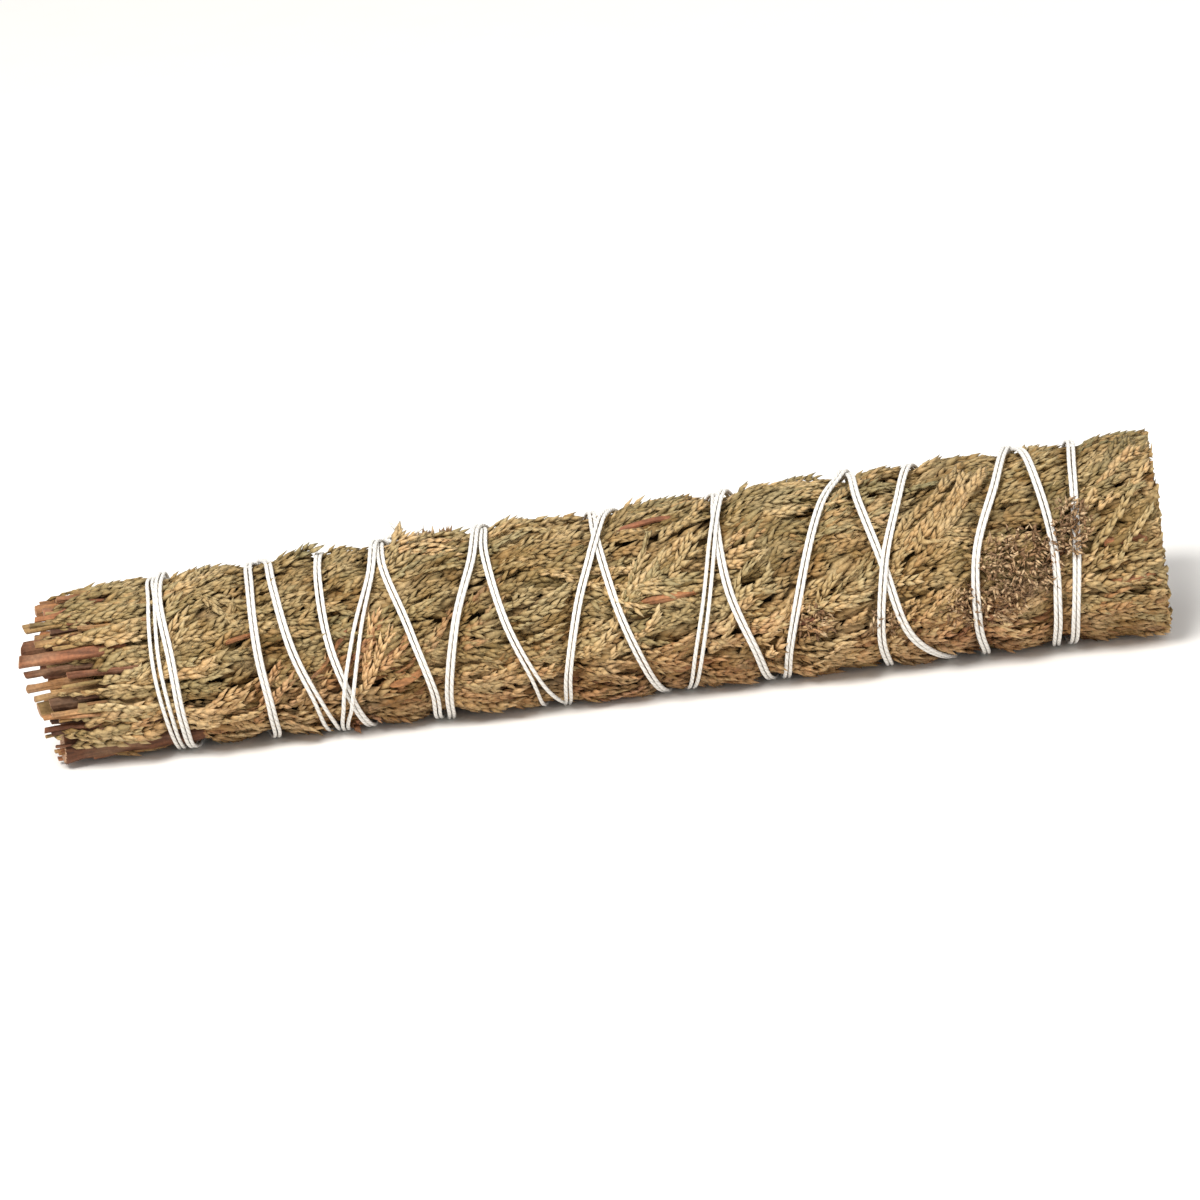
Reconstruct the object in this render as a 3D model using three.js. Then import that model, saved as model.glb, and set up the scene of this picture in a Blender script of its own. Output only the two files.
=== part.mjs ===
// A dried cedar smudge stick: leafy sprigs laid side by side and bound with doubled cotton thread.
// Millimetres. +X runs from the stem ends to the cut tips, +Z is up, and the stick lies on z = 0.
// Angles go round the long axis, from +Y towards +Z, so 90 is the top and 180 faces -Y.
import * as THREE from 'three';

// Driving dimensions
const halfLength = 112.3;           // half of the overall length, stems included
const middleRadius = 18.5;          // radius of the bundle at mid length
const radiusPerMm = 0.015;          // the tip end is fuller than the stem end
const sag = 1.2;                    // how far the underside is pressed flat
const threadSink = 1.1;             // how deep the binding pulls the leaves in
const boundClearance = 2.2;         // height of the bound stretch above the ground
const boundFrom = -90;
const boundTo = 98;

const outerCount = 14;
const innerCount = 7;
const innerShare = 0.62;            // radius where the outer sprigs meet the inner ones
const coreShare = 0.24;             // radius where the inner sprigs meet the middle one
const sprigGap = 0.36;
const valleyDepth = 0.9;            // groove between two neighbouring sprigs
const edgeWander = 2.2;             // degrees that the edge of a sprig wanders to each side
const tipStep = 0.45;               // the tips are cut not quite level

const threadWidth = 1.5;            // two strands side by side
const threadThick = 0.75;
const threadGap = 0.3;
const layerPitch = 1.1;             // one turn over another
const crossNear = 3.2;              // turns closer than this along X lie one over the other
const crossFar = 5.2;               // turns further apart than this both lie on the leaves
const knotSwell = 1.5;
const stepsPerTurn = 24;            // so that samples fall on both edges of the flat underside

const leafColour = 0x857748;
const innerLeafColour = 0x6e6138;
const stemColour = 0x7a4a30;
const threadColour = 0xeeebe4;
const scrapColour = 0x9a8b52;

// Stem stubs of the outer sprigs, from the underside round: end position and stem radius.
const outerStubs = [
  [-108.0, 1.5], [-110.5, 1.1], [-107.5, 1.4], [-111.5, 1.0], [-106.0, 1.8],
  [-109.5, 1.2], [-106.5, 1.0], [-105.5, 1.0], [-111.0, 1.2], [-112.3, 1.2],
  [-111.5, 1.1], [-109.5, 1.4], [-107.5, 1.2], [-107.0, 2.9],
];
const innerStubs = [
  [-106.0, 1.6], [-109.0, 1.3], [-104.5, 1.9], [-108.0, 1.4],
  [-105.0, 1.5], [-110.0, 1.2], [-107.0, 1.7],
];

// The binding: position along X of each turn at five angles down the -Y side, in winding order.
const turnAngles = [68, 113, 158, 203, 248];
const turns = [
  [-66.5, -66.0, -65.5, -64.5, -65.5],
  [-85.5, -85.5, -85.5, -84.5, -84.0],
  [-84.0, -84.0, -82.5, -82.0, -81.0],
  [-63.5, -61.5, -59.0, -55.0, -53.5],
  [-52.5, -52.5, -51.5, -48.5, -46.0],
  [-40.5, -39.5, -35.5, -32.5, -32.5],
  [-20.0, -19.5, -17.0, -12.5, -9.5],
  [1.5, 2.5, 5.0, 9.0, 12.5],
  [26.0, 26.0, 27.0, 31.0, 33.5],
  [52.5, 54.0, 57.5, 61.0, 69.0],
  [86.0, 88.5, 90.5, 90.0, 89.5],
  [96.5, 96.0, 95.0, 93.5, 92.5],
  [84.0, 81.0, 75.5, 74.5, 75.5],
  [65.0, 62.0, 57.5, 55.5, 56.5],
  [52.0, 46.5, 41.5, 37.5, 36.0],
  [28.5, 26.0, 23.0, 19.5, 17.0],
  [5.5, 2.5, -2.5, -6.0, -7.5],
  [-20.5, -22.0, -26.5, -29.5, -30.5],
  [-41.0, -42.0, -46.0, -49.5, -51.0],
];
const startTail = [[-15, -56.0], [15, -60.0], [45, -64.5]];   // angle and position before the first turn
const endTail = [[68, -38.0], [84, -34.5]];                   // the same, after the last turn

const radians = Math.PI / 180;

function bundleRadius(x) {
  return middleRadius + radiusPerMm * x;
}

// 1 where the thread binds the bundle, 0 at the loose ends
function boundShare(x) {
  const enter = THREE.MathUtils.smoothstep(x, boundFrom - 4, boundFrom);
  const leave = 1 - THREE.MathUtils.smoothstep(x, boundTo, boundTo + 4);
  return enter * leave;
}

// Point of the bundle at a given radius, kept above the flat of the underside
function bundlePoint(x, angle, radius, floor) {
  const centre = bundleRadius(x) - sag;
  const z = Math.max(centre + radius * Math.sin(angle), floor);
  return new THREE.Vector3(x, radius * Math.cos(angle), z);
}

// One closed skin over a row of rings that all have the same number of points
function loft(rings) {
  const count = rings[0].length;
  const position = [];
  const index = [];
  for (const ring of rings) {
    for (const point of ring) {
      position.push(point.x, point.y, point.z);
    }
  }
  for (let row = 0; row < rings.length - 1; row++) {
    for (let column = 0; column < count; column++) {
      const a = row * count + column;
      const b = row * count + (column + 1) % count;
      index.push(a, b, b + count, a, b + count, a + count);
    }
  }
  const last = (rings.length - 1) * count;
  for (let column = 1; column < count - 1; column++) {
    index.push(0, column + 1, column);
    index.push(last, last + column, last + column + 1);
  }
  const geometry = new THREE.BufferGeometry();
  geometry.setAttribute('position', new THREE.Float32BufferAttribute(position, 3));
  geometry.setIndex(index);
  geometry.computeVertexNormals();
  return geometry;
}

function addPiece(group, name, geometry, colour, roughness) {
  const material = new THREE.MeshStandardMaterial({ color: colour, roughness, metalness: 0 });
  const mesh = new THREE.Mesh(geometry, material);
  mesh.name = name;
  group.add(mesh);
}

// Edge between two neighbouring sprigs, which wanders a little along the stick
function edgeAngle(edge, count, x) {
  const start = 270 + (edge - 0.5) * 360 / count;
  const wander = edgeWander * Math.sin(x / 31 + 2.4 * (edge % count));
  return (start + wander) * radians;
}

// Cross-section of a sprig: an arc outside, an arc inside, and a gap to each neighbour
function sprigSection(x, number, count, outerRadius, innerRadius, crown) {
  const low = edgeAngle(number, count, x);
  const high = edgeAngle(number + 1, count, x);
  const floor = boundShare(x) * boundClearance;
  const place = (share, radius) => {
    const margin = 0.5 * sprigGap / radius;
    const angle = THREE.MathUtils.lerp(low + margin, high - margin, share);
    return bundlePoint(x, angle, radius, floor);
  };
  const outside = [0, 0.22, 0.5, 0.78, 1].map((share) => {
    const side = 2 * share - 1;
    return place(share, outerRadius - crown * side ** 4);
  });
  const inside = [1, 0.5, 0].map((share) => place(share, innerRadius));
  return [...outside, ...inside];
}

// Round section of a stem, its points in step with those of the leafy sections
function stemSection(x, centre, radius, turn) {
  const ring = [];
  for (let corner = 0; corner < 8; corner++) {
    const angle = turn + (corner - 2) * Math.PI / 4;
    const y = centre.y + radius * Math.cos(angle);
    const z = centre.z + radius * Math.sin(angle);
    ring.push(new THREE.Vector3(x, y, z));
  }
  return ring;
}

// A sprig: a bare stem stub, then leaves that fill its share of the bundle as far as the cut tips
function sprig(number, count, stub, outerOf, innerOf, crown) {
  const [stubEnd, stemRadius] = stub;
  const middle = (270 + number * 360 / count) * radians;
  const reach = 0.5 * (outerOf(-100) + innerOf(-100));
  const floor = stemRadius + 0.1;
  const rings = [];
  for (const [x, swell] of [[stubEnd, 1], [-103, 1.12]]) {
    const centre = bundlePoint(x, middle, reach, floor);
    rings.push(stemSection(x, centre, stemRadius * swell, middle));
  }
  for (const x of [-98, -93, -89, -60, -30, 0, 30, 60, 97, 102]) {
    rings.push(sprigSection(x, number, count, outerOf(x), innerOf(x), crown));
  }
  const cut = halfLength - tipStep * (number % 3);
  rings.push(sprigSection(cut, number, count, outerOf(cut), innerOf(cut), crown));
  return loft(rings);
}

function outerSprigs(group) {
  const outerOf = (x) => bundleRadius(x) - threadSink * boundShare(x);
  const innerOf = (x) => bundleRadius(x) * innerShare + 0.2;
  for (let number = 0; number < outerCount; number++) {
    const geometry = sprig(number, outerCount, outerStubs[number], outerOf, innerOf, valleyDepth);
    addPiece(group, `outer_sprig_${String(number + 1).padStart(2, '0')}`, geometry, leafColour, 0.9);
  }
}

function innerSprigs(group) {
  const outerOf = (x) => bundleRadius(x) * innerShare - 0.2;
  const innerOf = (x) => bundleRadius(x) * coreShare + 0.2;
  for (let number = 0; number < innerCount; number++) {
    const geometry = sprig(number, innerCount, innerStubs[number], outerOf, innerOf, 0);
    addPiece(group, `inner_sprig_${number + 1}`, geometry, innerLeafColour, 0.9);
  }
}

// The middle branch that the others are laid round
function middleBranch(group) {
  const rings = [];
  for (const [x, share] of [[-108.5, 0.45], [-98, 0.55], [-92, 1], [0, 1], [halfLength - 0.5, 1]]) {
    const radius = (bundleRadius(x) * coreShare - 0.2) * share;
    const centre = new THREE.Vector3(x, 0, bundleRadius(x) - sag);
    rings.push(stemSection(x, centre, radius, 0));
  }
  addPiece(group, 'middle_branch', loft(rings), stemColour, 0.85);
}

// The route of the binding as [angle in degrees, x], one entry for each known point
function threadRoute() {
  const route = startTail.map(([angle, x]) => [angle, x]);
  turns.forEach((turn, count) => {
    turn.forEach((x, column) => route.push([turnAngles[column] + 360 * count, x]));
  });
  endTail.forEach(([angle, x]) => route.push([angle + 360 * turns.length, x]));
  return route;
}

// Smooth position along X at an angle, by a cubic through the points on each side
function routeAt(route, angle) {
  let cell = 0;
  while (cell < route.length - 2 && route[cell + 1][0] < angle) {
    cell++;
  }
  const slopeAt = (point) => {
    const before = route[Math.max(point - 1, 0)];
    const after = route[Math.min(point + 1, route.length - 1)];
    return (after[1] - before[1]) / (after[0] - before[0]);
  };
  const [startAngle, startX] = route[cell];
  const [endAngle, endX] = route[cell + 1];
  const span = endAngle - startAngle;
  const t = (angle - startAngle) / span;
  const rise = (slopeAt(cell) * (1 - t) * t * (1 - t) - slopeAt(cell + 1) * t * t * (1 - t)) * span;
  const blend = t * t * (3 - 2 * t);
  return startX + (endX - startX) * blend + rise;
}

// Height of each sample over the leaves: a turn rises over every earlier turn that it meets
function threadLifts(samples) {
  const base = threadGap + threadThick / 2;
  const lifts = [];
  samples.forEach(([, x], here) => {
    let lift = base;
    for (let below = here - stepsPerTurn; below >= 0; below -= stepsPerTurn) {
      const near = 1 - THREE.MathUtils.smoothstep(Math.abs(x - samples[below][1]), crossNear, crossFar);
      lift = Math.max(lift, base + (lifts[below] - base + layerPitch) * near);
    }
    lifts.push(lift);
  });
  return lifts;
}

// The flat six-sided section of the doubled thread, which swells where it is knotted
function threadSection(centre, along, outward, swell) {
  const across = new THREE.Vector3().crossVectors(outward, along).normalize();
  const halfWidth = 0.5 * threadWidth * swell;
  const halfThick = 0.5 * threadThick * Math.min(swell, 1.3);
  const corners = [[1, 0], [0.5, 1], [-0.5, 1], [-1, 0], [-0.5, -1], [0.5, -1]];
  return corners.map(([side, up]) => {
    const point = centre.clone().addScaledVector(across, halfWidth * side);
    return point.addScaledVector(outward, halfThick * up);
  });
}

function wrapThread(group) {
  const route = threadRoute();
  const first = route[0][0];
  const last = route[route.length - 1][0];
  const step = 360 / stepsPerTurn;
  const samples = [];
  for (let angle = first; angle <= last; angle += step) {
    samples.push([angle, routeAt(route, angle)]);
  }
  const lifts = threadLifts(samples);
  const centres = samples.map(([angle, x], here) => {
    const radius = bundleRadius(x) - threadSink + lifts[here];
    return bundlePoint(x, angle * radians, radius, boundClearance - lifts[here]);
  });
  const rings = centres.map((centre, here) => {
    const before = centres[Math.max(here - 1, 0)];
    const after = centres[Math.min(here + 1, centres.length - 1)];
    const along = new THREE.Vector3().subVectors(after, before).normalize();
    const underneath = before.z === after.z && centre.z < boundClearance;
    const angle = underneath ? 270 : samples[here][0];
    const outward = new THREE.Vector3(0, Math.cos(angle * radians), Math.sin(angle * radians));
    const knotted = here === 2 || here === centres.length - 2;
    return threadSection(centre, along, outward, knotted ? knotSwell : 1);
  });
  addPiece(group, 'wrap_thread', loft(rings), threadColour, 0.8);
}

// A loose scrap of leaf caught on top of the bundle
function leafScrap(group, name, x, angle, length, width, lift) {
  const rings = [];
  for (const share of [-0.5, -0.2, 0.2, 0.5]) {
    const at = x + share * length;
    const half = 0.5 * width * Math.sqrt(1.1 - 4 * share * share);
    const radius = bundleRadius(at) - threadSink + lift + 0.35 * Math.cos(3 * share);
    const ring = [];
    for (const [side, up] of [[-0.6, 0.7], [0.6, 0.7], [1, 0], [-1, 0]]) {
      const turn = angle * radians + side * half / radius;
      ring.push(bundlePoint(at, turn, radius + up, 0));
    }
    rings.push(ring);
  }
  addPiece(group, name, loft(rings), scrapColour, 0.9);
}

const smudgeStick = new THREE.Group();
outerSprigs(smudgeStick);
innerSprigs(smudgeStick);
middleBranch(smudgeStick);
wrapThread(smudgeStick);
leafScrap(smudgeStick, 'leaf_scrap_1', -56.5, 84, 5, 2.6, 0.4);
leafScrap(smudgeStick, 'leaf_scrap_2', -30, 88, 7, 3.2, 0.4);

export default smudgeStick;
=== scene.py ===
# Looks of a dried cedar smudge stick: leafy sprays, bare stems and doubled cotton thread.
# Metres, +X from the stem ends to the cut tips, +Z up, lying on z = 0. Sizes are written as mm * number.
import math

import bpy
import numpy as np
from mathutils import Matrix, Vector


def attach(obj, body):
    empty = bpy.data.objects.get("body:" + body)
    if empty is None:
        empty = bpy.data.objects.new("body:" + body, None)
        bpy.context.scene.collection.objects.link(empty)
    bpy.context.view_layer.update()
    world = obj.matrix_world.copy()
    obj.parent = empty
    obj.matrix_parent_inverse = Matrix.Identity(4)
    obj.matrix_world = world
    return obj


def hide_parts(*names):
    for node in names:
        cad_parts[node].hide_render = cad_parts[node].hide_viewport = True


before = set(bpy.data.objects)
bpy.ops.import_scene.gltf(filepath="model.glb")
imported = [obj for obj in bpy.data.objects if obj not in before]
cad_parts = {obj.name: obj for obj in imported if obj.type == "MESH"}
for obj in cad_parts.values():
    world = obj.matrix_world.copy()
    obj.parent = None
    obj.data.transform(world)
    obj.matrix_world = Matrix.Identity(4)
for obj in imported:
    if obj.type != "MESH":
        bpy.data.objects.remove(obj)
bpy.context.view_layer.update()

mm = 0.001
degree = math.pi / 180
rng = np.random.default_rng(4107)

# The bundle: the same driving sizes as the CAD model
bundle = dict(
    halfLength=112.3,
    middleRadius=18.5,
    radiusPerMm=0.015,
    sag=1.2,              # how far the underside is pressed flat
    grooveDepth=1.05,     # how deep the thread pulls the leaves in
    grooveWidth=1.6,
    bulge=0.25,           # how far the leaves swell between two turns
    ground=0.12,          # lowest height of any leaf
    outerSprigs=14,
    innerSprigs=7,
    bodyDepth=3.6,        # of the packed leaves below the outer radius, coloured dark as painted shadow
    innerShare=0.62,      # share of the radius that the inner sprigs reach
    middleShare=0.24,     # share of the radius that the middle branch fills
)


def radiusAt(x):
    return bundle["middleRadius"] + bundle["radiusPerMm"] * x


def centreAt(x):
    return radiusAt(x) - bundle["sag"]


def smoothStep(value, low, high):
    t = np.clip((value - low) / (high - low), 0, 1)
    return t * t * (3 - 2 * t)


# The route of the thread.
# Position along X in mm at five angles down the -Y side, one row for each turn in winding order

turnAngles = [68, 113, 158, 203, 248]
turns = [
    [-66.5, -66.0, -65.5, -64.5, -65.5],
    [-85.5, -85.5, -85.5, -84.5, -84.0],
    [-84.0, -84.0, -82.5, -82.0, -81.0],
    [-63.5, -61.5, -59.0, -55.0, -53.5],
    [-52.5, -52.5, -51.5, -48.5, -46.0],
    [-40.5, -39.5, -35.5, -32.5, -32.5],
    [-20.0, -19.5, -17.0, -12.5, -9.5],
    [1.5, 2.5, 5.0, 9.0, 12.5],
    [26.0, 26.0, 27.0, 31.0, 33.5],
    [52.5, 54.0, 57.5, 61.0, 69.0],
    [86.0, 88.5, 90.5, 90.0, 89.5],
    [96.5, 96.0, 95.0, 93.5, 92.5],
    [84.0, 81.0, 75.5, 74.5, 75.5],
    [65.0, 62.0, 57.5, 55.5, 56.5],
    [52.0, 46.5, 41.5, 37.5, 36.0],
    [28.5, 26.0, 23.0, 19.5, 17.0],
    [5.5, 2.5, -2.5, -6.0, -7.5],
    [-20.5, -22.0, -26.5, -29.5, -30.5],
    [-41.0, -42.0, -46.0, -49.5, -51.0],
]
startTail = [[-15, -56.0], [15, -60.0], [45, -64.5]]
endTail = [[68, -38.0], [84, -34.5]]

thread = dict(
    strandRadius=0.39,
    strandSpacing=0.88,    # between the middles of the two strands
    sink=0.28,             # middle of the strands below the leaves' outer radius
    layerPitch=0.78,       # rise where one turn passes over another
    crossNear=1.5,
    crossFar=2.9,
    anglePerStep=4,        # degrees
    sides=6,
)


def threadRoute():
    route = [list(point) for point in startTail]
    for count, turn in enumerate(turns):
        route += [[angle + 360 * count, x] for angle, x in zip(turnAngles, turn)]
    route += [[angle + 360 * len(turns), x] for angle, x in endTail]
    return np.array(route, float)


def routeX(route, angles):
    # A cubic through the known points, with each slope taken from the two neighbours
    slopes = np.gradient(route[:, 1]) / np.gradient(route[:, 0])
    cell = np.clip(np.searchsorted(route[:, 0], angles) - 1, 0, len(route) - 2)
    span = route[cell + 1, 0] - route[cell, 0]
    t = (angles - route[cell, 0]) / span
    blend = t * t * (3 - 2 * t)
    rise = (slopes[cell] * (1 - t) - slopes[cell + 1] * t) * t * (1 - t) * span
    return route[cell, 1] + (route[cell + 1, 1] - route[cell, 1]) * blend + rise


route = threadRoute()
perTurn = 360 // thread["anglePerStep"]
routeAngles = np.arange(route[0, 0], route[-1, 0] + 0.1, thread["anglePerStep"])
routePlaces = routeX(route, routeAngles)
turnTable = np.full((perTurn, len(routeAngles) // perTurn + 1), np.nan)
for step, place in enumerate(routePlaces):
    turnTable[step % perTurn, step // perTurn] = place


def nearestTurn(x, angle):
    # Distance in mm along X from a point of the surface to the closest turn of thread
    column = np.round((angle / degree - route[0, 0]) / thread["anglePerStep"]).astype(int) % perTurn
    return np.nanmin(np.abs(np.expand_dims(x, -1) - turnTable[column]), axis=-1)


# The surface of the bundle, which the thread pulls in.

def outerRadius(x, angle):
    # Round all the way, except where the underside is pressed flat
    down = np.maximum(-np.sin(angle), 0.3)
    return np.minimum(radiusAt(x), (centreAt(x) - bundle["ground"]) / down)


def surfacePoint(x, angle, depth, grooved=True):
    near = nearestTurn(x, angle)
    groove = bundle["grooveDepth"] * np.exp(-(near / bundle["grooveWidth"]) ** 2)
    bulge = bundle["bulge"] * smoothStep(near, 1.5, 6) - 0.15
    radius = outerRadius(x, angle) - depth + (bulge - groove if grooved else 0)
    z = np.maximum(centreAt(x) + radius * np.sin(angle), bundle["ground"])
    return np.stack([x, radius * np.cos(angle), z], -1)


def surfaceNormal(x, angle):
    flat = smoothStep(-np.sin(angle), 0.90, 0.96)
    y = np.cos(angle) * (1 - 0.85 * flat)
    z = np.sin(angle)
    size = np.sqrt(y * y + z * z)
    return np.stack([np.zeros_like(x), y / size, z / size], -1)


# Helpers for shapes made with Blender's own tools.

def deselectAll():
    if bpy.context.object and bpy.context.object.mode != "OBJECT":
        bpy.ops.object.mode_set(mode="OBJECT")
    bpy.ops.object.select_all(action="DESELECT")


def applyPlace(piece):
    deselectAll()
    piece.select_set(True)
    bpy.context.view_layer.objects.active = piece
    bpy.ops.object.transform_apply(location=True, rotation=True, scale=True)


def templateOf(piece):
    # Points and triangles of a modelled shape, which is then removed
    applyPlace(piece)
    bpy.ops.object.mode_set(mode="EDIT")
    bpy.ops.mesh.select_all(action="SELECT")
    bpy.ops.mesh.quads_convert_to_tris()
    bpy.ops.mesh.normals_make_consistent(inside=False)
    bpy.ops.object.mode_set(mode="OBJECT")
    points = np.array([vertex.co for vertex in piece.data.vertices])
    faces = np.array([list(polygon.vertices) for polygon in piece.data.polygons])
    bpy.data.objects.remove(piece)
    return points, faces


def meshPiece(name, points, faces, tones, slots, materials, smooth=True):
    # One mesh from arrays in mm. tones holds the four leaf or bark values of each point
    mesh = bpy.data.meshes.new(name)
    mesh.vertices.add(len(points))
    mesh.vertices.foreach_set("co", (points * mm).astype(np.float32).ravel())
    mesh.loops.add(faces.size)
    mesh.loops.foreach_set("vertex_index", faces.astype(np.int32).ravel())
    mesh.polygons.add(len(faces))
    mesh.polygons.foreach_set("loop_start", np.arange(0, faces.size, 3, dtype=np.int32))
    mesh.polygons.foreach_set("loop_total", np.full(len(faces), 3, np.int32))
    mesh.polygons.foreach_set("use_smooth", np.full(len(faces), smooth))
    for material in materials:
        mesh.materials.append(material)
    mesh.polygons.foreach_set("material_index", slots.astype(np.int32))
    mesh.update(calc_edges=True)
    layer = mesh.color_attributes.new("tone", "FLOAT_COLOR", "POINT")
    layer.data.foreach_set("color", tones.astype(np.float32).ravel())
    mesh.validate()
    piece = bpy.data.objects.new(name, mesh)
    bpy.context.scene.collection.objects.link(piece)
    print(f"{name}: {len(faces)} triangles")
    return piece


class Heap:
    # Gathers the points and triangles of one piece before its mesh is made
    def __init__(self):
        self.points, self.faces, self.tones, self.slots, self.count = [], [], [], [], 0

    def add(self, points, faces, tones, slot):
        self.points.append(points)
        self.faces.append(faces + self.count)
        self.tones.append(tones)
        self.slots.append(np.broadcast_to(slot, len(faces)))
        self.count += len(points)

    def piece(self, name, materials, smooth=True):
        return meshPiece(name, np.concatenate(self.points), np.concatenate(self.faces),
                         np.concatenate(self.tones), np.concatenate(self.slots), materials, smooth)


# Scale leaves.

leaf = dict(
    pitch=2.0,            # mm between two pairs of scales on a shoot
    length=3.7,
    width=1.38,
    thickness=0.9,
    spread=12.5,          # degrees that a side scale leans out
    lift=3.0,             # degrees that its tip stands up
    faceLength=2.7,
    faceWidth=1.0,
)


def outward(points, faces):
    # Turns the faces of a closed shape so that they look outward
    first, second, third = (points[faces[:, corner]] for corner in range(3))
    volume = np.einsum("ij,ij->", first, np.cross(second, third))
    return faces if volume > 0 else faces[:, ::-1]


def scaleLeaf(sides, widest, tipRise, keel):
    # A scale from its base at 0 to its pointed tip at 1 along X, widest part way along
    deselectAll()
    bpy.ops.mesh.primitive_cone_add(vertices=sides, radius1=0.5, depth=1 - widest, end_fill_type="TRIFAN")
    points, faces = templateOf(bpy.context.object)
    points[:, 2] += (1 + widest) / 2
    middle = np.hypot(points[:, 0], points[:, 1]) < 0.01
    base = middle & (points[:, 2] < 0.9)
    points[base, 2] = 0
    up = points[:, 0] * keel + np.where(middle & ~base, tipRise, 0)
    points = np.stack([points[:, 2], points[:, 1], up], -1)
    return points, outward(points, faces)


def unit(vector):
    return vector / np.maximum(np.linalg.norm(vector, axis=-1, keepdims=True), 1e-9)


def addCopies(heap, shape, base, ahead, up, size, tone, slot):
    # One copy of a shape for each row: base point, direction, outward normal, size and tone
    points, faces = shape
    ahead = unit(ahead)
    across = unit(np.cross(up, ahead))
    outward = np.cross(ahead, across)
    local = points[None, :, :] * size[:, None, :]
    placed = (base[:, None, :] + local[..., :1] * ahead[:, None, :]
              + local[..., 1:2] * across[:, None, :] + local[..., 2:] * outward[:, None, :])
    placed[..., 2] = np.maximum(placed[..., 2], 0.02)
    cutFace = bundle["halfLength"] - 0.4 - 0.8 * tone[:, 1:2]     # where the knife went through
    placed[..., 0] -= 0.88 * np.maximum(placed[..., 0] - cutFace, 0)
    count = len(base)
    along = np.broadcast_to(points[:, 0], (count, len(points)))
    tones = np.stack([np.repeat(tone[:, :1], len(points), 1), np.repeat(tone[:, 1:2], len(points), 1),
                      along, np.repeat(tone[:, 2:3], len(points), 1)], -1)
    offsets = np.arange(count)[:, None, None] * len(points)
    heap.add(placed.reshape(-1, 3), (faces[None] + offsets).reshape(-1, 3), tones.reshape(-1, 4), slot)


def shootPath(shoots, longest):
    # Centre points of every shoot: rows are shoots, columns are nodes
    step = leaf["pitch"] * shoots["scale"][:, None]
    along = np.arange(longest)[None] * step
    phase = shoots["shade"][:, None]
    wave = 0.16 * np.sin(along / 2.9 + 40 * phase) + 0.08 * np.sin(along / 1.3 + 90 * phase)
    heading = shoots["heading"][:, None] + shoots["bend"][:, None] * along + wave
    x = shoots["x"][:, None] + np.cumsum(np.cos(heading) * step, 1)
    arc = np.cumsum(np.sin(heading) * step, 1)
    angle = shoots["angle"][:, None] - arc / radiusAt(x)
    share = np.clip(along / shoots["length"][:, None], 0, 1)
    depth = shoots["baseDepth"][:, None] * (1 - share) ** 1.3 + shoots["tipDepth"][:, None] * share
    depth = depth + 0.22 * np.sin(along / 2.3 + 60 * phase)
    inside = (along < shoots["length"][:, None]) & (x < shoots["cut"][:, None])
    return x, angle, depth, share, inside


def growShoots(heap, shoots, grooved=True):
    # Dresses each shoot with a left, a right and a middle scale at every node
    longest = int(np.ceil((shoots["length"] / (leaf["pitch"] * shoots["scale"])).max())) + 1
    x, angle, depth, share, inside = shootPath(shoots, longest)
    if grooved:      # a scale that reaches over a thread starts lower
        dip = np.exp(-(nearestTurn(x, angle) / bundle["grooveWidth"]) ** 2)
        depth = depth + 0.9 * bundle["grooveDepth"] * np.maximum(np.roll(dip, -1, 1) - dip, 0)
    middle = surfacePoint(x, angle, depth, grooved)
    normal = surfaceNormal(x, angle)
    ahead = unit(np.gradient(middle, axis=1))
    roll = shoots["roll"][:, None, None]
    side = unit(np.cross(normal, ahead))
    normal = unit(np.cos(roll) * np.cross(ahead, side) + np.sin(roll) * side)
    side = np.cross(normal, ahead)
    keep = inside
    count = int(keep.sum())
    middle, ahead, side, normal = middle[keep], ahead[keep], side[keep], normal[keep]
    taper = ((1 - 0.45 * smoothStep(share, 0.82, 1.05)) * (0.6 + 0.4 * smoothStep(x, -109, -98)))[keep]
    scale = (np.broadcast_to(shoots["scale"][:, None], share.shape)[keep]) * taper
    # Brightness of each scale: a random share per shoot, mixed with painted shade that darkens the scales
    # lying deeper in the bundle and lightens the outermost ones
    light = np.clip(0.45 * shoots["shade"][:, None] + 0.55 * (1 - depth / 2.8), 0, 1)[keep]
    tone = np.stack([np.broadcast_to(shoots["tone"][:, None], share.shape)[keep],
                     rng.random(count), light], -1)
    for hand in (-1, 1):
        lean = (leaf["spread"] + rng.normal(0, 5, count))[:, None] * degree
        rise = (leaf["lift"] + rng.normal(0, 3, count))[:, None] * degree
        aim = ahead * np.cos(lean) + hand * side * np.sin(lean) + normal * np.sin(rise)
        shift = (0.25 * hand + rng.normal(0, 0.06, count)) * leaf["pitch"] * scale
        base = middle + ahead * shift[:, None] + hand * side * (0.16 * scale)[:, None]
        size = np.stack([leaf["length"] * scale * rng.normal(1, 0.12, count),
                         leaf["width"] * scale * rng.normal(1, 0.12, count),
                         leaf["thickness"] * scale * rng.normal(1, 0.1, count)], -1)
        tilted = unit(normal + 0.35 * hand * side)
        addCopies(heap, scaleShapes[0], base, aim, tilted, size, tone, 0)
    size = np.stack([leaf["faceLength"] * scale, leaf["faceWidth"] * scale, leaf["thickness"] * scale], -1)
    base = middle + normal * (0.17 * scale)[:, None]
    addCopies(heap, scaleShapes[1], base, ahead + 0.08 * normal, normal, size, tone, 0)


scaleShapes = (scaleLeaf(4, 0.42, 0.10, 1.0), scaleLeaf(3, 0.45, 0.08, 1.1))


# Sprays of shoots.

spray = dict(
    spacing=10.4,          # mm between the starts of two sprays of one sprig
    length=(20, 40),
    sideStart=2.5,
    sideSpacing=4.7,
    sideAngle=(13, 30),
    sideLength=(8, 17),
    baseDepth=(2.0, 3.2),
    tipDepth=(0.15, 1.4),
    crossing=4,
)


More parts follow.
